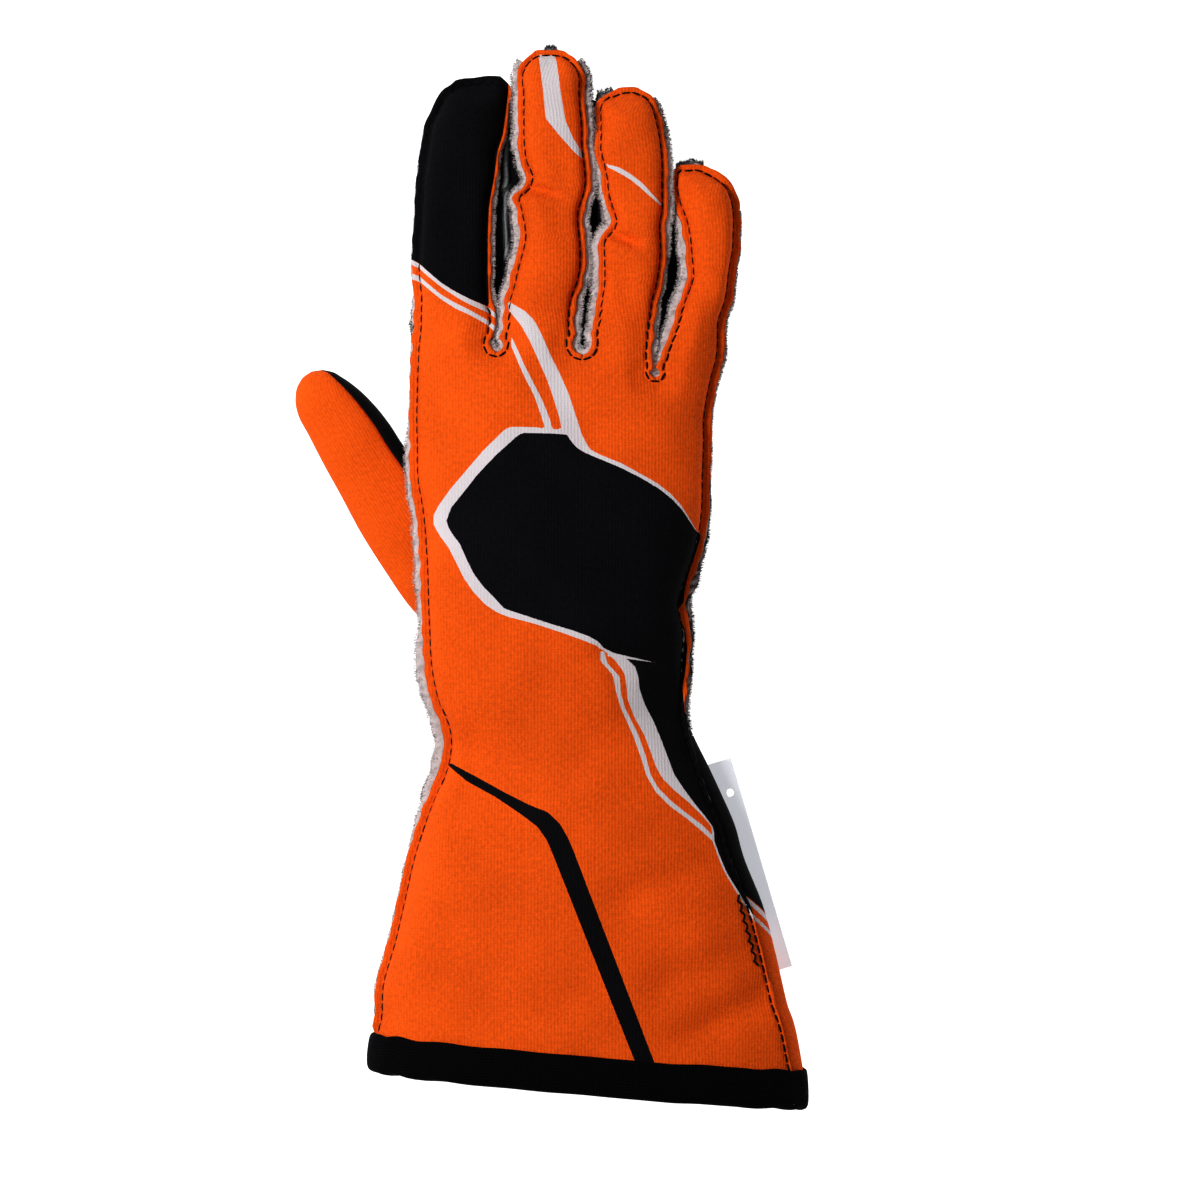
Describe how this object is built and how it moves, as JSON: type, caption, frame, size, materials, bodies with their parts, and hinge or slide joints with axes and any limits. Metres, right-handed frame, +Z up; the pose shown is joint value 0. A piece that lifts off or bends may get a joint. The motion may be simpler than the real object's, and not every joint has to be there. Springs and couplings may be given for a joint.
{
  "type": "racing glove",
  "caption": "Gauntlet-cuffed racing glove in stretch knit with outside seams, black palm, chevron and hexagon colour blocks, bound cuff and side label.",
  "frame": {"origin": "centre of the bounding box at the level of the surface that the palm lies on", "axes": "+Z up, out of the back of the hand; +Y from the cuff to the fingertips; +X towards the little finger"},
  "size_m": [0.1544, 0.3184, 0.0416],
  "materials": {
    "orange_knit": "orange fire-retardant stretch knit with a fine vertical rib, printed black and white colour blocks",
    "black_palm": "black suede palm, matt",
    "black_knit": "black knit finger sides",
    "pale_lining": "off-white fleece lining, raw edge",
    "binding_tape": "black woven binding tape",
    "label_cloth": "white woven label"
  },
  "bodies": {
    "root": {"back_panel": "orange_knit", "palm_panel": "black_palm", "cuff_front": "orange_knit", "fourchette_1": "black_knit", "fourchette_2": "black_knit", "fourchette_3": "black_knit", "thumb_back": "orange_knit", "thumb_palm": "black_palm", "lining_slit_1": "pale_lining", "lining_slit_2": "pale_lining", "lining_slit_3": "pale_lining", "lining_left": "pale_lining", "lining_right": "pale_lining", "cuff_binding": "binding_tape", "side_label": "label_cloth"}
  },
  "joints": []
}
